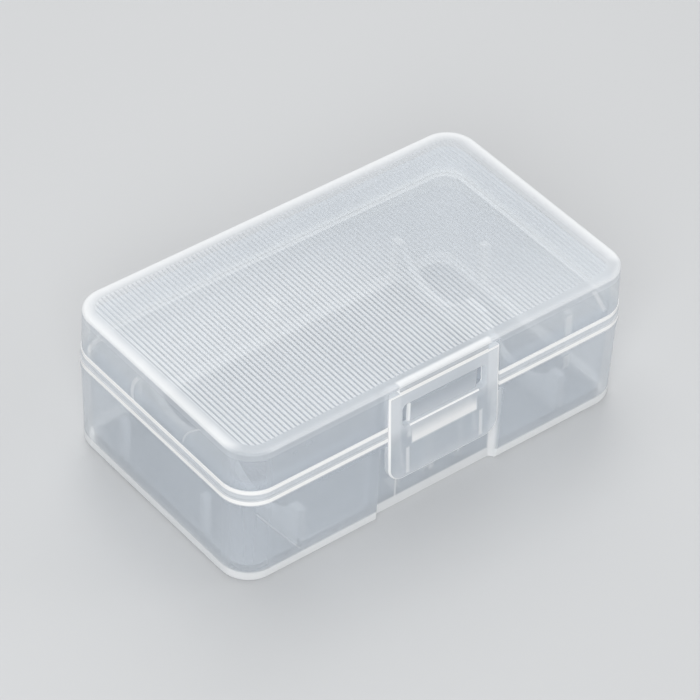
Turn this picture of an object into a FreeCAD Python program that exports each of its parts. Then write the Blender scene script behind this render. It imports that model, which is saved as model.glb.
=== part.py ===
import FreeCAD, Part
import math
import os
from FreeCAD import Vector

# Hinged battery case: a tray, a lid on two film hinges and a snap latch on a third.
# Millimetres. X along the length, the latch faces -Y, Z up, origin in the middle of the underside.

# Two cells lie side by side on the cradle ribs
cell_radius = 9.25
cell_clearance = 0.2
cell_gap = 2.64              # between the two cells
cell_lift = 2.35             # of the saddles, above the floor
head_room = 2.35             # over the cells
rib_thickness = 1.4
rib_spacing = 52.2
rib_height = 9.2             # above the underside
lug_reach = 2.2              # middle lugs that part short cells
stop_thickness = 1.2         # ribs on the end walls that stop the cells
stop_reach = 1.4
stop_height = 10.0

# Walls
wall = 1.4
floor_thickness = 1.5
top_thickness = 1.5
floor_bevel = 0.7            # inside, where wall and floor meet
tongue_height = 1.4          # lip of the tray that stands up inside the lid
tongue_thickness = 0.8
tongue_clearance = 0.12

# Outside
bead_length = 77.8           # over the bead that runs round the tray's rim
corner_radius = 5.7          # at the bead
parting_height = 17.6        # where the tray's rim meets the lid
parting_gap = 0.1            # the lid's edge stands this far off the rim
bead_height = 2.2
bead_proud = 0.16            # of the tray's wall below it
bead_round = 0.35
bead_chamfer = 0.14
tray_draft = 1.3             # degrees from the vertical
lid_draft = 1.0
lid_set_back = 0.16          # lid's edge inside the bead
tray_edge_round = 0.6
lid_edge_round = 0.4
lid_bead_height = 1.5
lid_bead_proud = 0.06
groove_pitch = 0.823         # fine V grooves across the lid's top
groove_width = 0.42
groove_depth = 0.12
groove_margin = 2.3          # smooth band round the grooved field

# Latch
latch_width = 21.8
latch_length = 16.9
latch_thickness = 1.2
latch_tilt = 3.8             # degrees, so that a finger gets under its lower edge
latch_face_inset = 0.42      # top of its outer face, inside the bead
latch_corner_round = 2.8
latch_edge_round = 0.3
window_round = 0.8
window_side_margin = 1.45    # round the lid's island
window_top_margin = 0.2
window_low_margin = 0.1
hook_height = 1.4
hook_gap = 0.2               # under the catch
hook_clearance = 0.2         # from the niche's wall
gusset_thickness = 0.9
gusset_clearance = 0.35      # beside the catch
gusset_foot = 1.1            # above the latch's lower edge
gusset_reach = 0.35

# Latch niche in the front wall
latch_side_clearance = 0.2
latch_back_clearance = 0.43
niche_flare = 1.8            # below the bead, each side curves out by this much
niche_wall = 1.25
lip_thickness = 0.75         # of the lid's top over the niche
island_width = 13.5          # raised panel of the lid inside the latch's window
island_height = 3.85
island_foot = 0.3            # above the lid's edge
island_set_back = 0.15       # of the island's face, from the lid's edge
island_round = 0.5
catch_width = 13.0
catch_proud = 0.62
catch_nose = 0.6
catch_nose_clearance = 0.12  # from the back of the latch
catch_drop = 3.25            # of the catch's underside, below the rim
catch_top_gap = 0.5          # catch's ramp ends this far under the rim
brace_thickness = 0.9        # of the two gussets that brace the niche's wall from inside
brace_spacing = 12.7
brace_height = 3.6           # above the floor
brace_reach = 3.0

# Film hinges
film_thickness = 0.3
latch_film_length = 1.2
latch_film_width = 17.4
latch_film_inset = 0.05      # from the latch's outer face
rear_film_width = 18.0
rear_film_from_corner = 4.2
rear_film_radius = 0.3       # of the loop it makes behind the parting line, to mid film
rear_pad_height = 1.0        # of the flange that each end of the loop grows from

# For cutting and for finding edges
run_out = 1.0                # how far a cutter goes past what it cuts
same_place = 1e-4

latch_slope = math.tan(math.radians(latch_tilt))
latch_back = latch_thickness / math.cos(math.radians(latch_tilt))
cell_offset = cell_radius + cell_gap / 2
cell_axis_height = floor_thickness + cell_lift + cell_clearance + cell_radius
case_height = cell_axis_height + cell_radius + cell_clearance + head_room + top_thickness

rim_height = parting_height - parting_gap / 2
lid_edge_height = parting_height + parting_gap / 2
bead_bottom = rim_height - bead_height
island_bottom = lid_edge_height + island_foot
island_top = island_bottom + island_height
catch_underside = rim_height - catch_drop
latch_top_height = case_height - lip_thickness - latch_film_length
latch_bottom_height = latch_top_height - latch_length

niche_width = latch_width + 2 * latch_side_clearance
flared_width = niche_width + 2 * niche_flare
lid_niche_depth = latch_face_inset + latch_back + latch_back_clearance
catch_to_latch_top = latch_top_height - catch_underside
tray_niche_depth = (latch_face_inset + latch_back - catch_to_latch_top * latch_slope
                    + catch_nose_clearance + catch_proud)
gusset_spacing = catch_width + 2 * gusset_clearance + gusset_thickness

half_length = bead_length / 2
half_width = cell_offset + cell_radius + cell_clearance + niche_wall + tray_niche_depth
rear_film_spacing = 2 * (half_length - corner_radius - rear_film_from_corner) - rear_film_width


def tray_inset(height):
    """How far the tray's wall lies inside the bead at a height."""
    return bead_proud + (bead_bottom - height) * math.tan(math.radians(tray_draft))


def lid_inset(height):
    """How far the lid's wall lies inside the bead at a height."""
    return lid_set_back + lid_bead_proud + (height - lid_edge_height) * math.tan(math.radians(lid_draft))


def outline(inset, height):
    """The case's rounded rectangle, brought in by an inset, at a height."""
    x = half_length - inset
    y = half_width - inset
    radius = corner_radius - inset
    turn = radius * math.cos(math.radians(45))
    corners = ((1, 1), (-1, 1), (-1, -1), (1, -1))
    edges = []
    starts = []
    for index, (side_x, side_y) in enumerate(corners):
        centre = Vector(side_x * (x - radius), side_y * (y - radius), height)
        along_x = centre + Vector(side_x * radius, 0, 0)
        along_y = centre + Vector(0, side_y * radius, 0)
        middle = centre + Vector(side_x * turn, side_y * turn, 0)
        first, last = (along_x, along_y) if index % 2 == 0 else (along_y, along_x)
        starts.append((first, middle, last))
    for index, (first, middle, last) in enumerate(starts):
        edges.append(Part.Arc(first, middle, last).toShape())
        following = starts[(index + 1) % len(starts)][0]
        edges.append(Part.makeLine(last, following))
    return Part.Wire(edges)


def drafted_block(low_inset, low, high_inset, high):
    """A solid between two outlines."""
    return Part.makeLoft([outline(low_inset, low), outline(high_inset, high)], True, True)


def block(low, high):
    """A box between two corners."""
    size = [high[axis] - low[axis] for axis in range(3)]
    return Part.makeBox(*size, Vector(*low))


def side_prism(points, width, centre_x=0.0):
    """A (y, z) outline drawn out along X, evenly about centre_x."""
    corners = [Vector(centre_x - width / 2, y, z) for y, z in points]
    face = Part.Face(Part.makePolygon(corners + corners[:1]))
    return face.extrude(Vector(width, 0, 0))


def edges_where(shape, test):
    """The edges whose every end and middle point passes a test."""
    chosen = []
    for edge in shape.Edges:
        middle = edge.valueAt((edge.FirstParameter + edge.LastParameter) / 2)
        points = [vertex.Point for vertex in edge.Vertexes] + [middle]
        if all(test(point) for point in points):
            chosen.append(edge)
    return chosen


def at_height(height):
    """A test for points at one height."""
    return lambda point: abs(point.z - height) < same_place


def top_grooves():
    """Cutters for the grooves, which run across the lid and end at a rounded rectangle."""
    inset = lid_inset(case_height) + groove_margin
    field_x, field_y = half_length - inset, half_width - inset
    radius = corner_radius - inset
    over = groove_depth / 2
    half_mouth = groove_width / 2 * (groove_depth + over) / groove_depth
    count = int((field_x - groove_width) / groove_pitch)
    cutters = []
    for number in range(-count, count + 1):
        x = number * groove_pitch
        into_corner = max(0.0, abs(x) + groove_width / 2 - (field_x - radius))
        reach = field_y - radius + math.sqrt(radius ** 2 - into_corner ** 2)
        mouth = case_height + over
        corners = [Vector(x - half_mouth, -reach, mouth), Vector(x + half_mouth, -reach, mouth),
                   Vector(x, -reach, case_height - groove_depth)]
        section = Part.Face(Part.makePolygon(corners + corners[:1]))
        cutters.append(section.extrude(Vector(0, 2 * reach, 0)))
    return Part.makeCompound(cutters)


def niche(depth, low, high):
    """What the latch niche takes from the front wall, with straight sides."""
    half = niche_width / 2
    return block((-half, -half_width - run_out, low), (half, -half_width + depth, high))


def flared_niche(depth, low, high):
    """The niche below the bead, where its sides curve out to the face of the wall."""
    floor_y = -half_width + depth
    front_y = -half_width - run_out
    half, flared = niche_width / 2, flared_width / 2

    def side_curve(side):
        ends = Vector(side * flared, -half_width, low), Vector(side * half, floor_y, low)
        pull = Vector(side * niche_flare / 2, 0, 0)
        curve = Part.BezierCurve()
        curve.setPoles([ends[0], ends[0] - pull, ends[1] + pull, ends[1]])
        return curve.toShape()

    front = [Vector(-flared, -half_width, low), Vector(-flared, front_y, low),
             Vector(flared, front_y, low), Vector(flared, -half_width, low)]
    edges = [side_curve(-1), side_curve(1),
             Part.makeLine(Vector(-half, floor_y, low), Vector(half, floor_y, low))]
    edges += [Part.makeLine(start, end) for start, end in zip(front, front[1:])]
    wire = Part.Wire(Part.sortEdges(edges)[0])
    return Part.Face(wire).extrude(Vector(0, 0, high - low))


def niche_backing(width, depth, low, high):
    """The inside of the niche's wall, which the hollow leaves standing."""
    return block((-width / 2, -half_width - run_out, low), (width / 2, -half_width + depth + niche_wall, high))


def niche_braces():
    """Gussets inside the tray that hold the niche's wall against the pull of the catch."""
    wall_y = -half_width + tray_niche_depth + niche_wall
    floor = floor_thickness
    corner = [(wall_y - niche_wall / 2, floor / 2), (wall_y + brace_reach, floor / 2), (wall_y + brace_reach, floor),
              (wall_y, floor + brace_height), (wall_y - niche_wall / 2, floor + brace_height)]
    return [side_prism(corner, brace_thickness, side * brace_spacing / 2) for side in (-1, 1)]


def cradle_rib(centre_x, keep_from=0.0):
    """A rib across the tray with a saddle for each cell, or only its ends beyond keep_from."""
    across = half_width - tray_inset(rib_height) - wall / 2
    saddle_radius = cell_radius + cell_clearance
    rib = block((centre_x - rib_thickness / 2, -across, floor_thickness / 2),
                (centre_x + rib_thickness / 2, across, rib_height))
    for side in (-1, 1):
        cell = Part.makeCylinder(saddle_radius, 2 * rib_thickness,
                                 Vector(centre_x - rib_thickness, side * cell_offset, cell_axis_height),
                                 Vector(1, 0, 0))
        rib = rib.cut(cell)
    if keep_from:
        rib = rib.cut(block((centre_x - rib_thickness, -keep_from, 0),
                            (centre_x + rib_thickness, keep_from, case_height)))
    return rib


def end_stops():
    """Upright ribs on the end walls, one at each end of each cell."""
    wall_x = half_length - tray_inset(stop_height) - wall
    stops = []
    for end in (-1, 1):
        for side in (-1, 1):
            near, far = sorted((end * (wall_x - stop_reach), end * (wall_x + wall / 2)))
            middle = side * cell_offset
            stops.append(block((near, middle - stop_thickness / 2, floor_thickness / 2),
                               (far, middle + stop_thickness / 2, stop_height)))
    return stops


def catch():
    """The wedge on the tray's front wall that the latch's hook snaps under."""
    wall_y = -half_width + tray_niche_depth
    nose_y = wall_y - catch_proud
    nose_top = catch_underside + catch_nose
    top = rim_height - catch_top_gap
    wedge = side_prism([(wall_y + niche_wall / 2, catch_underside), (nose_y, catch_underside),
                        (nose_y, nose_top), (wall_y, top), (wall_y + niche_wall / 2, top)], catch_width)
    return wedge


def rear_hinge_pads(low, high, foot_y):
    """Flanges flush with the bead on the back wall, which the rear films grow from."""
    pads = []
    for side in (-1, 1):
        middle = side * rear_film_spacing / 2
        pads.append(block((middle - rear_film_width / 2, foot_y, low),
                          (middle + rear_film_width / 2, half_width, high)))
    return pads


def make_tray():
    outer = drafted_block(tray_inset(0), 0, tray_inset(bead_bottom), bead_bottom)
    outer = outer.makeFillet(tray_edge_round, edges_where(outer, at_height(0)))
    bead = drafted_block(0, bead_bottom, 0, rim_height)
    bead = bead.makeFillet(bead_round, edges_where(bead, at_height(rim_height)))
    bead = bead.makeChamfer(bead_chamfer, edges_where(bead, at_height(bead_bottom)))
    outer = outer.fuse(bead)

    rim_inset = lid_set_back + lid_bead_proud + wall + tongue_clearance + tongue_thickness
    hollow = drafted_block(tray_inset(floor_thickness) + wall, floor_thickness,
                           tray_inset(bead_bottom) + wall, bead_bottom)
    hollow = hollow.makeChamfer(floor_bevel, edges_where(hollow, at_height(floor_thickness)))
    throat = drafted_block(tray_inset(bead_bottom) + wall, bead_bottom,
                           rim_inset, rim_height + tongue_height)
    tongue = drafted_block(rim_inset - tongue_thickness, bead_bottom,
                           rim_inset - tongue_thickness, rim_height + tongue_height)
    tongue_gap_half = flared_width / 2 + run_out
    tongue = tongue.cut(block((-tongue_gap_half, -half_width, rim_height),
                              (tongue_gap_half, 0, case_height)))
    hollow = hollow.fuse(throat)
    hollow = hollow.cut(niche_backing(flared_width, tray_niche_depth, -run_out, case_height))
    tray = outer.fuse(tongue).cut(hollow)

    lug_start = half_width - tray_inset(rib_height) - wall - lug_reach
    ribs = [cradle_rib(side * rib_spacing / 2) for side in (-1, 1)] + [cradle_rib(0.0, lug_start)]
    pad_foot = half_width - tray_inset(bead_bottom) - wall / 2
    pads = rear_hinge_pads(rim_height - rear_pad_height, rim_height, pad_foot)
    for piece in ribs + end_stops() + pads + niche_braces():
        tray = tray.fuse(piece)
    tray = tray.cut(flared_niche(tray_niche_depth, -run_out, bead_bottom))
    tray = tray.cut(niche(tray_niche_depth, -run_out, rim_height + run_out))
    return tray.fuse(catch()).removeSplitter()


def make_lid():
    wall_top = case_height
    outer = drafted_block(lid_inset(lid_edge_height), lid_edge_height, lid_inset(wall_top), wall_top)
    outer = outer.makeFillet(lid_edge_round, edges_where(outer, at_height(wall_top)))
    bead = drafted_block(lid_set_back, lid_edge_height, lid_set_back, lid_edge_height + lid_bead_height)
    outer = outer.fuse(bead)
    ceiling = wall_top - top_thickness
    hollow = drafted_block(lid_set_back + lid_bead_proud + wall, lid_edge_height,
                           lid_inset(ceiling) + wall, ceiling)
    hollow = hollow.makeChamfer(floor_bevel, edges_where(hollow, at_height(ceiling)))
    backing_width = niche_width + 2 * niche_wall
    hollow = hollow.cut(niche_backing(backing_width, lid_niche_depth, 0, ceiling))
    shell = outer.cut(niche(lid_niche_depth, 0, wall_top - lip_thickness)).cut(hollow)
    shell = shell.cut(top_grooves())

    island_y = -half_width + lid_set_back + island_set_back
    island = block((-island_width / 2, island_y, island_bottom),
                   (island_width / 2, -half_width + lid_niche_depth + niche_wall / 2, island_top))
    front_uprights = edges_where(island, lambda point: abs(point.y - island_y) < same_place)
    island = island.makeFillet(island_round, front_uprights)
    shell = shell.fuse(island)
    pad_foot = half_width - lid_inset(lid_edge_height) - wall / 2
    for pad in rear_hinge_pads(lid_edge_height, lid_edge_height + rear_pad_height, pad_foot):
        shell = shell.fuse(pad)
    return shell.removeSplitter()


def latch_face_y(height):
    """The latch's outer face at a height."""
    return -half_width + latch_face_inset - (latch_top_height - height) * latch_slope


def latch_window():
    """The opening that leaves the lid's island in view, as a cutter."""
    half = island_width / 2 + window_side_margin
    low, high = island_bottom - window_low_margin, island_top + window_top_margin
    window = block((-half, -2 * half_width, low), (half, 0, high))
    corners = edges_where(window, lambda point: abs(abs(point.x) - half) < same_place
                          and min(abs(point.z - low), abs(point.z - high)) < same_place)
    return window.makeFillet(window_round, corners)


def make_latch():
    low, high = latch_bottom_height, latch_top_height
    plate = side_prism([(latch_face_y(low), low), (latch_face_y(low) + latch_back, low),
                        (latch_face_y(high) + latch_back, high), (latch_face_y(high), high)], latch_width)
    lower_corners = edges_where(plate, lambda point: abs(point.z - low) < same_place
                                and abs(abs(point.x) - latch_width / 2) < same_place)
    plate = plate.makeFillet(latch_corner_round, lower_corners).cut(latch_window())
    face_edges = edges_where(plate, lambda point: abs(point.y - latch_face_y(point.z)) < same_place
                             and not at_height(high)(point))
    latch = plate.makeFillet(latch_edge_round, face_edges)

    inside = latch_back / 2
    hook_tip_y = -half_width + tray_niche_depth - hook_clearance
    hook_top = catch_underside - hook_gap
    hook_low = hook_top - hook_height
    hook_nose = hook_low + hook_height / 2
    hook_root = (latch_face_y(hook_top) + inside, hook_top)
    latch = latch.fuse(side_prism([(latch_face_y(hook_low) + inside, hook_low), (hook_tip_y, hook_nose),
                                   (hook_tip_y, hook_top), hook_root], gusset_spacing + gusset_thickness))
    foot = low + gusset_foot
    gusset = [(latch_face_y(foot) + inside, foot),
              (latch_face_y(foot) + latch_back + gusset_reach, foot + gusset_reach),
              (hook_tip_y, hook_nose), hook_root]
    for side in (-1, 1):
        latch = latch.fuse(side_prism(gusset, gusset_thickness, side * gusset_spacing / 2))
    return latch.removeSplitter()


def make_latch_film():
    """The thin strip that joins the latch's top edge to the lip of the lid."""
    outer_y = latch_face_y(latch_top_height) + latch_film_inset
    return block((-latch_film_width / 2, outer_y, latch_top_height),
                 (latch_film_width / 2, outer_y + film_thickness, case_height - lip_thickness))


def make_rear_film(side):
    """One of the two strips that loop from the tray's rim to the lid's edge at the back."""
    start = Vector(side * rear_film_spacing / 2 - rear_film_width / 2, half_width, parting_height)
    along = Vector(1, 0, 0)
    outer = Part.makeCylinder(rear_film_radius + film_thickness / 2, rear_film_width, start, along)
    inner = Part.makeCylinder(rear_film_radius - film_thickness / 2, rear_film_width, start, along)
    behind_wall = block((-half_length, half_width, 0), (half_length, half_width + run_out, case_height))
    return outer.cut(inner).common(behind_wall)


pieces = {
    "base_tray": make_tray(),
    "lid": make_lid(),
    "latch": make_latch(),
    "latch_hinge_film": make_latch_film(),
    "rear_hinge_film_left": make_rear_film(-1),
    "rear_hinge_film_right": make_rear_film(1),
}

os.makedirs("parts", exist_ok=True)
for name, shape in pieces.items():
    print(name, "solids", len(shape.Solids), "valid", shape.isValid(), "volume", round(shape.Volume, 1))
    shape.exportStep("parts/" + name + ".step")
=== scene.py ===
import math
import bmesh
import bpy
from mathutils import Matrix, Vector


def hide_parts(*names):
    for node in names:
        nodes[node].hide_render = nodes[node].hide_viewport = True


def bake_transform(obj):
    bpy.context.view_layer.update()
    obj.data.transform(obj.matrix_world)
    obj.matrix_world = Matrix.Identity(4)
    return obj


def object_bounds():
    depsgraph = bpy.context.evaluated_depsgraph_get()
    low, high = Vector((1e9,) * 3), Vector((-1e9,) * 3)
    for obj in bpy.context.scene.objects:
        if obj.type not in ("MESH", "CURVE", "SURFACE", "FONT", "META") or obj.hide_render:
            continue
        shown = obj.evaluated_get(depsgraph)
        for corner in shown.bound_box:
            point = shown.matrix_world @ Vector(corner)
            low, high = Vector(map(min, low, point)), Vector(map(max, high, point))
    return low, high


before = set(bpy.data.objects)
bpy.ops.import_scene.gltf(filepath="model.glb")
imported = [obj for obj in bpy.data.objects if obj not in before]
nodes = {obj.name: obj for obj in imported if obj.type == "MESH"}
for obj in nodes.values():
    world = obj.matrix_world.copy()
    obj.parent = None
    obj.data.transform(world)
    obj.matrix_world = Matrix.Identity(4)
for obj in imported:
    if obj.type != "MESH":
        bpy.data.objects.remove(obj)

mm = 0.001
cadLow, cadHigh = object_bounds()
scene = bpy.context.scene
print("frame loaded:", len(nodes), "nodes")


class Wire:  # a shader socket, so that sums on it read as sums
    def __init__(self, tree, socket):
        self.tree, self.socket = tree, socket

    def sum(self, operation, *parts, clamp=False):
        settings = {"operation": operation, "use_clamp": clamp}
        return self.tree.add("ShaderNodeMath", settings, dict(enumerate(parts)))

    def __add__(self, other):
        return self.sum("ADD", self, other)

    def __sub__(self, other):
        return self.sum("SUBTRACT", self, other)

    def __rsub__(self, other):
        return self.sum("SUBTRACT", other, self)

    def __mul__(self, other):
        return self.sum("MULTIPLY", self, other)

    def __abs__(self):
        return self.sum("ABSOLUTE", self)

    def least(self, other):
        return self.sum("MINIMUM", self, other)

    def most(self, other):
        return self.sum("MAXIMUM", self, other)

    def clamped(self):
        return self.sum("ADD", self, 0.0, clamp=True)

    __radd__, __rmul__ = __add__, __mul__


class Tree:  # a material's nodes
    def __init__(self, name):
        self.material = bpy.data.materials.new(name)
        self.material.use_nodes = True
        self.nodeTree = self.material.node_tree
        self.nodeTree.nodes.clear()

    def add(self, kind, settings=None, sockets=None, out=0):
        node = self.nodeTree.nodes.new(kind)
        for key, value in (settings or {}).items():
            setattr(node, key, value)
        for key, value in (sockets or {}).items():
            if isinstance(value, Wire):
                self.nodeTree.links.new(value.socket, node.inputs[key])
            else:
                node.inputs[key].default_value = value
        return Wire(self, node.outputs[out]) if node.outputs else node

    def place(self):  # where a point lies in the piece, in mm, from the object coordinates
        return self.vector("SCALE", self.add("ShaderNodeTexCoord", out=3), Scale=1 / mm)

    def split(self, vector):
        parts = self.add("ShaderNodeSeparateXYZ", {}, {0: vector}).socket.node.outputs
        return [Wire(self, part) for part in parts]

    def join(self, x, y, z):
        return self.add("ShaderNodeCombineXYZ", {}, {0: x, 1: y, 2: z})

    def mixColour(self, mask, first, second):  # 6, 7 and 2 are the Mix node's colour sockets
        return self.add("ShaderNodeMix", {"data_type": "RGBA"}, {0: mask, 6: first, 7: second}, 2)

    def rise(self, value, low, high):  # 0 below low, 1 above high
        settings = {"interpolation_type": "SMOOTHSTEP"}
        return self.add("ShaderNodeMapRange", settings, {0: value, 1: low, 2: high})

    def fall(self, value, low, high):  # 1 below low, 0 above high
        return 1 - self.rise(value, low, high)

    def band(self, value, low, high, soft):  # 1 between low and high
        return self.rise(value, low - soft, low + soft) * self.fall(value, high - soft, high + soft)

    def vector(self, operation, *parts, out=0, **named):  # output 1 holds the answer where it is a number
        sockets = {**dict(enumerate(parts)), **named}
        return self.add("ShaderNodeVectorMath", {"operation": operation}, sockets, out)

    def noise(self, where, scale, detail, rough=0.5):
        sockets = {"Vector": where, "Scale": scale, "Detail": detail, "Roughness": rough}
        return self.add("ShaderNodeTexNoise", {}, sockets)

    def finish(self, shader):
        self.add("ShaderNodeOutputMaterial", {}, {"Surface": shader})
        return self.material


# Lengths are in mm. A pair is where an effect starts and where it is full, or the two ends of a band.
case = {
    "halfLength": 38.9, "halfWidth": 22.945, "cornerRadius": 5.7,
    "outerFace": (0.7, 1.0),  # depth at which an outer face ends
    "frontFace": (-21.8, -21.4), "nicheHalf": (12.7, 12.9), "nicheBack": (-20.8, -20.6),
    "beadGap": (11.0, 11.1),  # half of what the niche takes from the beads
    "farLean": 0.5, "farSide": (-3.0, 2.0),  # of x * farLean + y: back and right from front and left
}
leftToRight = (0.0, 1.0)
grooves = {"pitch": 0.823, "halfWidth": 0.21, "floorShare": 0.4, "margin": (2.3, 2.6)}
frosted = {  # the plastic that the whole case is moulded in, with a glow colour for painted light and a shade colour for painted shade
    "body": (0.925, 0.955, 0.985, 1), "glow": (0.99, 0.99, 0.98, 1), "shade": (0.53, 0.56, 0.60, 1),
    "leaf": (0.95, 0.965, 0.98, 1), "clear": (0.965, 0.975, 0.985, 1),
    "leafShare": 0.35, "glowDensity": 0.8, "grazing": 0.25, "blend": 0.5, "ior": 1.49,
    "roughness": 0.34, "grain": 0.08, "grainScale": 2.2, "grainDetail": 3.0, "grainRough": 0.6,
    "bump": 0.1, "bumpHeight": 0.02 * mm, "cloud": 0.5, "cloudScale": 0.07, "cloudDetail": 3.0,
}


def outlineDepth(tree, place, halfX, halfY, radius):  # how far inside a rounded rectangle a point lies
    flat = (halfX - radius, halfY - radius, 1000.0)  # the height never counts
    over = tree.vector("SUBTRACT", tree.vector("ABSOLUTE", place), flat)
    beyond = tree.vector("LENGTH", tree.vector("MAXIMUM", over, (0, 0, 0)), out=1)
    overX, overY, _ = tree.split(over)
    return radius - beyond - overX.most(overY).least(0.0)


def caseDepth(tree, place):
    return outlineDepth(tree, place, case["halfLength"], case["halfWidth"], case["cornerRadius"])


def grooveLines(tree, x):  # 1 along the grooves, 0 between them
    crest, halfWidth = grooves["pitch"] / 2, grooves["halfWidth"]
    wave = x.sum("PINGPONG", x + crest, crest)
    return tree.rise(wave, crest - halfWidth, crest - halfWidth * grooves["floorShare"])


def onNiche(tree, x, y):  # 1 on the sides and floor of the latch's niche
    return tree.fall(abs(x), *case["nicheHalf"]) * tree.fall(y, *case["nicheBack"])


def onBead(tree, x, y, depth):  # 1 on the outer faces, apart from what the niche takes
    gap = tree.fall(abs(x), *case["beadGap"]) * tree.fall(y, *case["nicheBack"])
    return tree.fall(depth, *case["outerFace"]) * (1 - gap)


def onFarSide(tree, x, y):  # 1 towards the back and the right
    return tree.rise(x * case["farLean"] + y, *case["farSide"])


def frostedShader(tree, place, glow, shade, seeThrough):  # milky plastic: paler and denser where glow paints light on it, darker where shade paints shade
    cloud = tree.noise(place, frosted["cloudScale"], frosted["cloudDetail"])
    grain = tree.noise(place, frosted["grainScale"], frosted["grainDetail"], frosted["grainRough"])
    # random cloudy tone plus painted shade
    cloudAndShade = ((cloud - 0.5) * frosted["cloud"] + shade).clamped()
    colour = tree.mixColour(glow, tree.mixColour(cloudAndShade, frosted["body"], frosted["shade"]), frosted["glow"])
    bump = tree.add("ShaderNodeBump", {}, {
        "Strength": frosted["bump"], "Distance": frosted["bumpHeight"], "Height": grain})
    body = tree.add("ShaderNodeBsdfPrincipled", {}, {
        "Base Color": colour, "Roughness": grain * frosted["grain"] + frosted["roughness"],
        "IOR": frosted["ior"], "Normal": bump})
    leaf = tree.add("ShaderNodeBsdfTranslucent", {}, {"Color": frosted["leaf"], "Normal": bump})
    leafShare = (1 - glow * frosted["glowDensity"]) * frosted["leafShare"]
    solid = tree.add("ShaderNodeMixShader", {}, {0: leafShare, 1: body, 2: leaf})
    clear = tree.add("ShaderNodeBsdfTransparent", {}, {"Color": frosted["clear"]})
    facing = tree.add("ShaderNodeLayerWeight", {}, {"Blend": frosted["blend"]}, 1)  # higher where seen aslant
    seen = ((1 - facing * frosted["grazing"]) * seeThrough * (1 - glow)).clamped()
    return tree.finish(tree.add("ShaderNodeMixShader", {}, {0: seen, 1: solid, 2: clear}))


streakShape = {"ends": 0.4, "core": 0.3}  # how soft their ends are, and how much of the width is full


def streak(tree, across, along, look):  # a soft painted pale streak along a bent line
    share = (along - look["from"]) * (1 / (look["to"] - look["from"]))
    path = share * (share * look["bend"] + look["lean"]) + look["start"]
    width = tree.fall(abs(across - path), look["half"] * streakShape["core"], look["half"])
    return tree.band(along, look["from"], look["to"], streakShape["ends"]) * width * look["glow"]


lidLook = {
    "seeThrough": 0.8, "wallShade": 0.5,
    # the top: a painted highlight along the rim, wide in front and weak at the front left corner, round the
    # grooved field
    "top": (26.1, 26.45), "rim": (0.8, 3.2), "rimGlow": 0.62, "frontRim": 1.4, "front": (-20.5, -18.0),
    "corner": (-57.5, -55.0), "cornerRim": 0.25,
    # its grooves: painted shade in the valleys and a painted highlight on the ridges, both fading towards the
    # back and the right, where the plate is clearer; the fade and the clearer plate stand in for glare
    "valleyShade": 0.45, "valleyClear": 0.1, "ridgeGlow": 0.35,
    "fade": (-4.0, 22.0), "fadeLean": 0.6, "fadeShare": 0.9, "backFade": (4.0, 17.0), "backFadeShare": 0.5,
    "plate": (25.0, 25.3), "plateMilk": 0.16, "plateClear": (-8.0, 17.0), "plateClearShare": 0.2,
    # a painted highlight on the lip over the latch's niche
    "lipHigh": (25.85, 26.1), "lipHalf": (8.8, 9.6), "lipFront": (-21.9, -21.2), "lipGlow": 0.68,
    # painted highlight lines and a painted haze on the bead round the lower edge
    "line": (18.5, 19.25), "lineSoft": 0.15, "haze": (18.5, 18.6), "hazeGlow": 0.35,
    # the raised panel in the latch's window: a painted highlight on its side faces, weaker on the right, and
    # painted shade darker towards its top and on the rear of its left side
    "islandHalf": (6.9, 7.0), "islandBack": (-21.1, -20.9), "islandTop": (21.9, 22.0),
    "islandSide": (6.5, 6.65), "islandFront": (-21.85, -21.7), "islandGlow": 0.9, "islandRight": 0.3,
    "islandRise": (18.0, 23.5), "islandShade": 0.9, "islandMilk": 0.35,
    # a painted pale band of light inside the back and right walls, and where the left wall's face ends
    "inner": (1.2, 3.5), "innerSoft": 0.2, "band": (17.0, 20.2), "bandSoft": 0.8, "bandBase": 0.3,
    "bandTop": (21.5, 23.5),
    "leftFace": (-37.2, -36.8),
}
leftStreaks = [  # painted light arcs on the lid's left wall: y as it follows z
    {"from": 20.6, "to": 25.4, "start": 17.0, "lean": -1.5, "bend": -1.7, "half": 0.7, "glow": 0.3},
    {"from": 19.3, "to": 24.4, "start": 5.4, "lean": 1.25, "bend": -2.55, "half": 0.6, "glow": 0.45},
    {"from": 19.9, "to": 25.5, "start": -7.5, "lean": -1.0, "bend": -3.2, "half": 0.3, "glow": 0.35},
]
frontStreaks = [  # and on its front wall: x as it follows z
    {"from": 20.6, "to": 25.9, "start": 32.7, "lean": -2.7, "bend": 0.0, "half": 0.6, "glow": 0.45},
    {"from": 19.4, "to": 23.4, "start": 25.1, "lean": 0.0, "bend": 0.0, "half": 1.1, "glow": 0.35},
]


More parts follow.
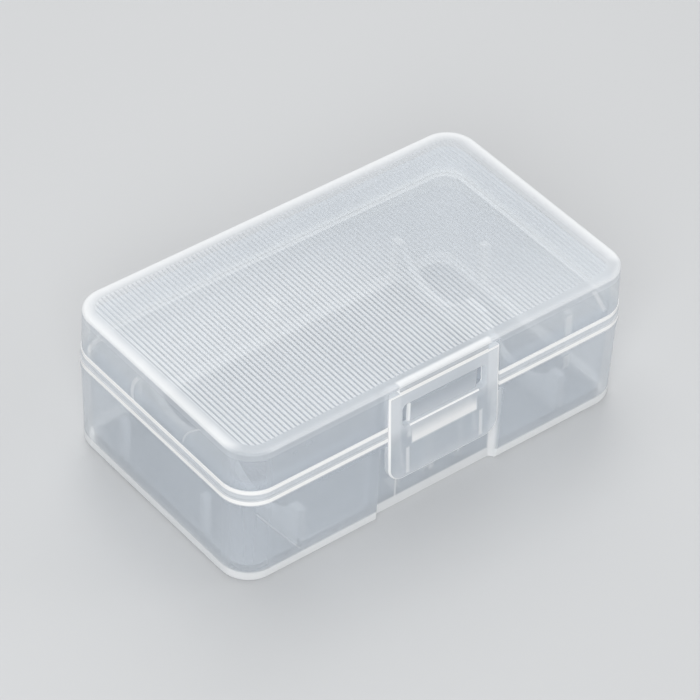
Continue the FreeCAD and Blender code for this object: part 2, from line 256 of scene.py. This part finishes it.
def lidPlastic():
    tree, look = Tree("lidPlastic"), lidLook
    place = tree.place()
    x, y, z = tree.split(place)
    depth = caseDepth(tree, place)
    top, right = tree.rise(z, *look["top"]), tree.rise(x, *leftToRight)
    corner = tree.rise(x + y, *look["corner"]) * (1 - look["cornerRim"]) + look["cornerRim"]
    rimDepth = depth + tree.fall(y, *look["front"]) * look["frontRim"]
    rim = tree.fall(rimDepth, *look["rim"]) * top * look["rimGlow"] * corner
    lip = tree.rise(z, *look["lipHigh"]) * tree.fall(abs(x), *look["lipHalf"]) * tree.fall(
        y, *look["lipFront"]) * look["lipGlow"]
    bead = onBead(tree, x, y, depth)
    line = tree.band(z, *look["line"], look["lineSoft"]) * bead
    haze = tree.fall(z, *look["haze"]) * bead * look["hazeGlow"]

    farWall = tree.band(depth, *look["inner"], look["innerSoft"]) * (1 - top) * onFarSide(tree, x, y)
    band = tree.band(z, *look["band"], look["bandSoft"]) * (1 - look["bandBase"]) + look["bandBase"]
    farBand = band * tree.fall(z, *look["bandTop"]) * farWall

    island = tree.fall(abs(x), *look["islandHalf"]) * tree.fall(y, *look["islandBack"]) * tree.fall(
        z, *look["islandTop"])
    islandSide = tree.rise(abs(x), *look["islandSide"]) * island
    islandFront = tree.fall(y, *look["islandFront"])
    islandEdge = islandSide * islandFront * (1 - right * (1 - look["islandRight"])) * look["islandGlow"]

    contrast = (1 - tree.rise(x + y * look["fadeLean"], *look["fade"]) * look["fadeShare"]) * (
        1 - tree.rise(y, *look["backFade"]) * look["backFadeShare"])
    grooved = top * contrast * tree.rise(depth, *grooves["margin"])
    groove = grooveLines(tree, x)
    valley, ridgeHighlight = groove * grooved, (1 - groove) * grooved * look["ridgeGlow"]

    paleStreaks = sum(streak(tree, y, z, mark) for mark in leftStreaks) * tree.fall(x, *look["leftFace"])
    paleStreaks += sum(streak(tree, x, z, mark) for mark in frontStreaks) * tree.fall(y, *case["frontFace"])

    # painted light: highlights on the rim, lip, bead and ridges, the far band, the island's edge and the
    # light arcs
    glow = (rim.most(lip) + line + haze + farBand + islandEdge + paleStreaks + ridgeHighlight).clamped()
    # painted shade: the walls darker than the top, apart from the far inner walls
    shade = valley * look["valleyShade"] + (1 - top) * (1 - farWall) * look["wallShade"]
    # painted shade on the island, darker towards its top, and on the rear of its left side
    shade += island * tree.rise(z, *look["islandRise"]) * look["islandShade"]
    shade += islandSide * (1 - islandFront) * (1 - right)
    # a clearer top towards the back and the right, standing in for glare
    clearer = tree.rise(x * case["farLean"] + y, *look["plateClear"])
    plate = clearer * look["plateClearShare"] - look["plateMilk"]
    seeThrough = tree.rise(z, *look["plate"]) * plate + look["seeThrough"]
    seeThrough += valley * look["valleyClear"] - island * look["islandMilk"]
    return frostedShader(tree, place, glow, shade, seeThrough)


trayLook = {
    "seeThrough": 0.8, "outerShade": 0.6, "innerShade": 0.25,
    # painted highlight lines and a painted haze on the bead round the rim, and a painted pale glow along the
    # foot
    "line": (16.4, 17.3), "lineSoft": 0.2, "haze": (17.3, 17.4), "hazeGlow": 0.35,
    "foot": (1.7, 2.3), "footDepth": (1.6, 3.0), "footGlow": 0.72,
    # painted highlights on what stands inside: cradle ribs, paler towards the back, middle lugs, end ribs,
    # brighter on the right, and the niche's braces
    "inside": (1.7, 1.9), "aboveFloor": (1.55, 1.8), "underBead": (14.95, 15.15),
    "ribSoft": 0.05, "ribGlow": 0.9,
    "cradle": (25.25, 26.95), "cradleNear": 0.4, "cradleFar": 0.4,
    "cradleLean": 0.3, "cradleRise": (-9.0, 5.0),
    "lug": (0.8, 0.9), "stop": (9.87, 11.27), "stopEnd": (35.4, 35.6), "stopLeft": 0.3, "stopRight": 0.6,
    "brace": (5.8, 6.9), "braceFront": (-20.1, -20.0), "braceBack": (-17.0, -16.9),
    # a painted pale band of light inside the back and right walls, and painted shade along fine lines on the
    # floor
    "inner": (1.3, 3.5), "innerSoft": 0.2, "band": (15.0, 16.6), "bandBase": 0.4,
    "floor": (1.55, 1.7), "floorDepth": (2.5, 3.0), "floorLines": 0.65,
    # the latch's niche: a painted highlight on its sides, brighter on the right, and painted shade on its
    # floor
    "nicheSide": (11.05, 12.1), "nicheSideSoft": 0.3, "nicheSideY": (-21.2, -21.0),
    "nicheSideTop": (15.1, 15.3), "nicheLeft": 0.2, "nicheRight": 0.55,
    "nicheHalf": (10.9, 11.1), "nicheShade": 0.4, "nicheMilk": 0.2,
    "wallTop": (15.0, 15.3), "wallFoot": (2.3, 2.6),  # the part of the front wall that has pale streaks
}
trayStreaks = [  # pale streaks on the tray's front wall: x as it follows z
    {"from": 2.8, "to": 14.4, "start": -27.3, "lean": -8.3, "bend": 0.0, "half": 0.25, "glow": 0.25},
    {"from": 12.5, "to": 15.2, "start": 25.3, "lean": 0.0, "bend": 0.0, "half": 0.9, "glow": 0.2},
]
nicheStreaks = [  # and on the floor of the latch's niche
    {"from": 2.0, "to": 7.0, "start": -7.65, "lean": 0.0, "bend": 0.0, "half": 0.3, "glow": 0.5},
    {"from": 4.0, "to": 7.0, "start": -0.4, "lean": 0.0, "bend": 0.0, "half": 0.7, "glow": 0.25},
    {"from": 4.5, "to": 7.0, "start": 5.0, "lean": 0.0, "bend": 0.0, "half": 0.4, "glow": 0.3},
]


def trayPlastic():
    tree, look = Tree("trayPlastic"), trayLook
    place = tree.place()
    x, y, z = tree.split(place)
    depth = caseDepth(tree, place)
    niche, right = onNiche(tree, x, y), tree.rise(x, *leftToRight)
    outside = (tree.fall(depth, *case["outerFace"]) + niche).clamped()
    bead = onBead(tree, x, y, depth)
    line = tree.band(z, *look["line"], look["lineSoft"]) * bead
    haze = tree.rise(z, *look["haze"]) * bead * look["hazeGlow"]
    foot = tree.fall(z, *look["foot"]) * tree.fall(depth, *look["footDepth"]) * look["footGlow"]

    cradles = tree.band(abs(x), *look["cradle"], look["ribSoft"]) * (
        tree.rise(x * look["cradleLean"] + y, *look["cradleRise"]) * look["cradleFar"] + look["cradleNear"])
    lugs = tree.fall(abs(x), *look["lug"])
    stops = tree.band(abs(y), *look["stop"], look["ribSoft"]) * tree.rise(abs(x), *look["stopEnd"]) * (
        right * look["stopRight"] + look["stopLeft"])
    braces = tree.band(abs(x), *look["brace"], look["ribSoft"]) * tree.fall(
        y, *look["braceBack"]) * tree.rise(y, *look["braceFront"])
    inside = tree.rise(depth, *look["inside"]) * tree.rise(
        z, *look["aboveFloor"]) * tree.fall(z, *look["underBead"])
    ribs = (cradles + lugs + stops + braces).clamped() * inside * look["ribGlow"]

    farWall = tree.band(depth, *look["inner"], look["innerSoft"]) * onFarSide(tree, x, y)
    farBand = (tree.rise(z, *look["band"]) * (1 - look["bandBase"]) + look["bandBase"]) * farWall
    onFloor = tree.fall(z, *look["floor"]) * tree.rise(depth, *look["floorDepth"])
    lines = grooveLines(tree, x) * onFloor * look["floorLines"]

    beside = tree.fall(y, *look["nicheSideY"]) * tree.fall(z, *look["nicheSideTop"])
    nicheSides = tree.band(abs(x), *look["nicheSide"], look["nicheSideSoft"]) * beside * (
        right * look["nicheRight"] + look["nicheLeft"])
    nicheFloor = tree.fall(abs(x), *look["nicheHalf"]) * niche
    onWall = tree.fall(y, *case["frontFace"]) * tree.fall(
        z, *look["wallTop"]) * tree.rise(z, *look["wallFoot"])
    paleStreaks = sum(streak(tree, x, z, mark) for mark in trayStreaks) * onWall
    paleStreaks += sum(streak(tree, x, z, mark) for mark in nicheStreaks) * nicheFloor

    # painted light: bead highlights, the pale foot, the niche's sides, the inner ribs, the far band and the
    # pale streaks
    glow = (line + haze + foot.most(nicheSides) + ribs + farBand + paleStreaks).clamped()
    # painted shade: the outer faces darker than the inside, more on the niche's floor and along the floor
    # lines
    shade = lines + nicheFloor * look["nicheShade"] + look["innerShade"]
    shade += outside * (look["outerShade"] - look["innerShade"])
    return frostedShader(tree, place, glow, shade, look["seeThrough"] - nicheFloor * look["nicheMilk"])


latchLook = {
    # painted shade over the latch, paler and less see-through towards its top
    "seeThrough": 0.74, "shade": 0.45, "upper": (15.5, 18.5), "upperPale": 0.3, "upperMilk": 0.3,
    # the plate, and a painted highlight round its edge
    "half": 10.9, "low": 7.75, "high": 24.65, "corner": 2.8, "faceY": -22.525, "slope": 0.0664,
    "edge": (0.19, 0.38), "face": (0.25, 0.5), "faceEdge": 0.6, "backEdge": 0.3, "belowTop": (24.55, 24.63),
    # its top, where the film grows from it, with painted highlight lines
    "filmHalf": (8.7, 8.85), "filmLine": (24.25, 24.4), "arris": (0.08, 0.16), "arrisLine": (24.35, 24.45),
    # painted highlights on the window's sill and right side
    "sill": (17.57, 17.83), "sillSoft": 0.05, "sillHalf": (6.8, 7.0),
    "jamb": (8.1, 8.3), "jambSoft": 0.05, "jambBack": (0.95, 1.05), "jambFoot": (17.9, 18.0),
    # painted pale glow on the plate where the tray's catch, the gussets and the sides stand behind it
    "catchLow": (13.75, 14.25), "catchHigh": (14.7, 17.6), "catchHalf": (6.3, 6.7), "catchGlow": 0.85,
    "gusset": (6.95, 7.65), "gussetSoft": 0.2, "gussetZ": (8.5, 13.6), "gussetEnds": 0.3, "gussetGlow": 0.55,
    "side": (8.3, 9.0), "sideZ": (11.0, 17.0), "sideGlow": 0.25,
}


def latchPlastic():
    tree, look = Tree("latchPlastic"), latchLook
    place = tree.place()
    x, y, z = tree.split(place)
    belowTop = look["high"] - z
    flat = tree.join(x, belowTop, 0.0)  # the plate laid out, its top edge on the X axis
    edgeDepth = outlineDepth(tree, flat, look["half"], look["high"] - look["low"], look["corner"])
    behindFace = y - look["faceY"] + belowTop * look["slope"]
    rim = tree.fall(edgeDepth, *look["edge"]) * tree.fall(z, *look["belowTop"]) * (
        tree.fall(behindFace, *look["face"]) * look["faceEdge"] + look["backEdge"])
    filmLine = tree.rise(z, *look["filmLine"]) * tree.fall(abs(x), *look["filmHalf"])
    arris = tree.rise(z, *look["arrisLine"]) * tree.fall(behindFace, *look["arris"])
    sill = tree.band(z, *look["sill"], look["sillSoft"]) * tree.fall(abs(x), *look["sillHalf"])
    jamb = tree.band(x, *look["jamb"], look["jambSoft"]) * tree.rise(
        behindFace, *look["jambBack"]) * tree.rise(z, *look["jambFoot"])
    catch = tree.rise(z, *look["catchLow"]) * tree.fall(z, *look["catchHigh"]) * tree.fall(
        abs(x), *look["catchHalf"]) * look["catchGlow"]
    gussets = tree.band(abs(x), *look["gusset"], look["gussetSoft"]) * tree.band(
        z, *look["gussetZ"], look["gussetEnds"]) * look["gussetGlow"]
    side = tree.rise(abs(x), *look["side"]) * tree.rise(z, *look["sideZ"]) * look["sideGlow"]
    upper = tree.rise(z, *look["upper"])
    glow = (rim + filmLine + arris + sill + jamb + catch + gussets + side).clamped()
    return frostedShader(tree, place, glow, look["shade"] - upper * look["upperPale"],
                         look["seeThrough"] - upper * look["upperMilk"])


# painted shade over the film, and a painted highlight at its root; its fine stretch lines are pale
filmLook = {
    "seeThrough": 0.45, "shade": 0.6, "stretch": (6.0, 0.4, 0.4), "stretchScale": 0.8, "stretchDetail": 2.0,
    "stretchGlow": 0.15, "rootLow": (24.0, 24.1), "rootHigh": (24.9, 25.0),
}


def filmPlastic():
    tree, look = Tree("filmPlastic"), filmLook
    place = tree.place()
    _, _, z = tree.split(place)
    pulled = tree.vector("MULTIPLY", place, look["stretch"])
    stretch = tree.noise(pulled, look["stretchScale"], look["stretchDetail"])  # fine lines across the bend
    root = tree.fall(z, *look["rootHigh"]) * tree.rise(z, *look["rootLow"])  # a painted highlight where the latch grows from it
    glow = (stretch * look["stretchGlow"] + root).clamped()
    return frostedShader(tree, place, glow, look["shade"], look["seeThrough"])


def dress(name, material):
    piece = nodes[name]
    piece.data.materials.clear()
    piece.data.materials.append(material)


lidMaterial, trayMaterial = lidPlastic(), trayPlastic()
latchMaterial, filmMaterial = latchPlastic(), filmPlastic()
for name, material in {"lid": lidMaterial, "base_tray": trayMaterial, "latch": latchMaterial}.items():
    dress(name, material)
print("plastic on lid, tray and latch")

# how a film's ends thin out
endShares = {"round": 0.1, "middle": 0.3, "tip": 0.55, "near": 0.85, "spans": 12}
rearFilm = {"middleX": 20.0, "halfLength": 9.0, "y": 22.945, "z": 17.6, "radius": 0.3, "thickness": 0.3,
            "thin": 0.22, "steps": 14, "bendReach": 0.3, "bendOut": 0.05}
latchFilm = {"halfLength": 8.7, "y": -22.325, "top": 25.85, "bottom": 24.65, "thickness": 0.3, "thin": 0.2,
             "steps": 14}


def crossSections(xLow, xHigh):  # where a film's sections stand along X, and their share of its thickness
    reach, spans = endShares["round"], endShares["spans"]
    near = reach * endShares["middle"]
    left = [(xLow, endShares["tip"]), (xLow + near, endShares["near"]), (xLow + reach, 1.0)]
    right = [(xHigh - reach, 1.0), (xHigh - near, endShares["near"]), (xHigh, endShares["tip"])]
    return left + [(xLow + (xHigh - xLow) * k / spans, 1.0) for k in range(1, spans)] + right


def makeStrip(name, line, halfThick, xLow, xHigh):  # a film along X with a section that follows a line
    mesh = bmesh.new()
    normals = []
    for i in range(len(line)):
        before, after = line[max(i - 1, 0)], line[min(i + 1, len(line) - 1)]
        along = (after - before).normalized()
        normals.append(Vector((0, -along.z, along.y)))
    rings = []
    for x, share in crossSections(xLow, xHigh):
        outer = [point + n * h * share for point, n, h in zip(line, normals, halfThick)]
        inner = [point - n * h * share for point, n, h in zip(line, normals, halfThick)]
        rings.append([mesh.verts.new(Vector((x, p.y, p.z)) * mm) for p in outer + inner[::-1]])
    for first, second in zip(rings, rings[1:]):
        for k in range(len(first)):
            following = (k + 1) % len(first)
            mesh.faces.new((first[k], first[following], second[following], second[k]))
    mesh.faces.new(rings[0][::-1])
    mesh.faces.new(rings[-1])
    bmesh.ops.recalc_face_normals(mesh, faces=mesh.faces)
    data = bpy.data.meshes.new(name)
    mesh.to_mesh(data)
    mesh.free()
    for face in data.polygons:
        face.use_smooth = len(face.vertices) == 4
    data.materials.append(filmMaterial)
    piece = bpy.data.objects.new(name, data)
    scene.collection.objects.link(piece)
    return piece


def makeRearFilm(name, side, node):
    look, steps, radius = rearFilm, rearFilm["steps"], rearFilm["radius"]
    angles = [math.radians(-90 + 180 * k / steps) for k in range(steps + 1)]
    line = [Vector((0, look["y"] + radius * math.cos(a), look["z"] + radius * math.sin(a))) for a in angles]
    thick = [(look["thin"] + (look["thickness"] - look["thin"]) * abs(math.sin(a))) / 2 for a in angles]
    middle, half = side * look["middleX"], look["halfLength"]
    film = makeStrip(name, line, thick, middle - half, middle + half)
    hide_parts(node)
    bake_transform(film)


def makeLatchFilm(name, node):
    look, steps, top, bottom = latchFilm, latchFilm["steps"], latchFilm["top"], latchFilm["bottom"]
    line = [Vector((0, look["y"], top + (bottom - top) * k / steps)) for k in range(steps + 1)]
    waist = [abs(2 * k / steps - 1) ** 2 for k in range(steps + 1)]  # thickest at its two ends
    thick = [(look["thin"] + (look["thickness"] - look["thin"]) * w) / 2 for w in waist]
    film = makeStrip(name, line, thick, -look["halfLength"], look["halfLength"])
    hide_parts(node)
    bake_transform(film)


makeRearFilm("rearFilmLeft", -1, "rear_hinge_film_left")
makeRearFilm("rearFilmRight", 1, "rear_hinge_film_right")
makeLatchFilm("latchFilm", "latch_hinge_film")
print("hinge films made")

# the stage and the lamps are in metres and watts
stage = {"size": 3.0, "drop": 0.1 * mm, "colour": (0.56, 0.57, 0.58, 1), "roughness": 0.5,
         "world": (1, 1, 1, 1), "worldStrength": 0.45, "seeThroughLayers": 24}
lamps = {
    "above": {"at": (0.05, 0.3, 0.9), "size": 0.7, "power": 2.6},
    "behind": {"at": (0.55, 0.75, 0.7), "size": 0.8, "power": 2.5},
    "front": {"at": (-0.6, -0.62, 0.62), "size": 0.6, "power": 6.2},
    "right": {"at": (0.75, -0.45, 0.4), "size": 0.5, "power": 1.2},
}
shot = {  # focal length and frame in pixels, clip in metres, the rest in mm and degrees
    "focal": 3762.84, "frame": 700.0, "sensor": 36.0, "azimuth": -40.06, "elevation": 41.385, "roll": 2.755,
    "distance": 597.421, "target": (0.838, 1.305, 11.674), "clip": (0.05, 20.0),
}


def makeFloor():
    half = stage["size"] / 2
    mesh = bpy.data.meshes.new("floor")
    z = cadLow.z - stage["drop"]
    corners = [(-half, -half, z), (half, -half, z), (half, half, z), (-half, half, z)]
    mesh.from_pydata(corners, [], [(0, 1, 2, 3)])
    floor = bpy.data.objects.new("floor", mesh)
    scene.collection.objects.link(floor)
    tree = Tree("paleFloor")
    mesh.materials.append(tree.finish(tree.add("ShaderNodeBsdfPrincipled", {}, {
        "Base Color": stage["colour"], "Roughness": stage["roughness"]})))


def makeLamps():
    for name, lamp in lamps.items():
        light = bpy.data.lights.new(name, "AREA")
        light.shape, light.size, light.energy = "DISK", lamp["size"], lamp["power"]
        piece = bpy.data.objects.new(name, light)
        scene.collection.objects.link(piece)
        piece.location = lamp["at"]
        piece.rotation_euler = (-Vector(lamp["at"])).to_track_quat("-Z", "Y").to_euler()
    world = bpy.data.worlds.new("studio")
    world.use_nodes = True
    backdrop = world.node_tree.nodes["Background"]
    backdrop.inputs["Color"].default_value = stage["world"]
    backdrop.inputs["Strength"].default_value = stage["worldStrength"]
    scene.world = world


def makeCamera():
    azimuth, elevation, roll = (math.radians(shot[key]) for key in ("azimuth", "elevation", "roll"))
    level = math.cos(elevation)
    back = Vector((math.sin(azimuth) * level, -math.cos(azimuth) * level, math.sin(elevation)))
    right = (-back).cross(Vector((0, 0, 1))).normalized()
    up = right.cross(-back)
    turn = Matrix((right * math.cos(roll) + up * math.sin(roll),
                   up * math.cos(roll) - right * math.sin(roll), back)).transposed()
    camera = bpy.data.objects.new("camera", bpy.data.cameras.new("camera"))
    camera.data.sensor_width = shot["sensor"]
    camera.data.lens = shot["focal"] / shot["frame"] * shot["sensor"]
    camera.data.clip_start, camera.data.clip_end = shot["clip"]
    place = (Vector(shot["target"]) + back * shot["distance"]) * mm
    camera.matrix_world = Matrix.Translation(place) @ turn.to_4x4()
    scene.collection.objects.link(camera)
    scene.camera = camera


makeFloor()
makeLamps()
makeCamera()
scene.view_settings.view_transform = "Standard"
scene.cycles.transparent_max_bounces = stage["seeThroughLayers"]
print("floor, lamps and camera placed")
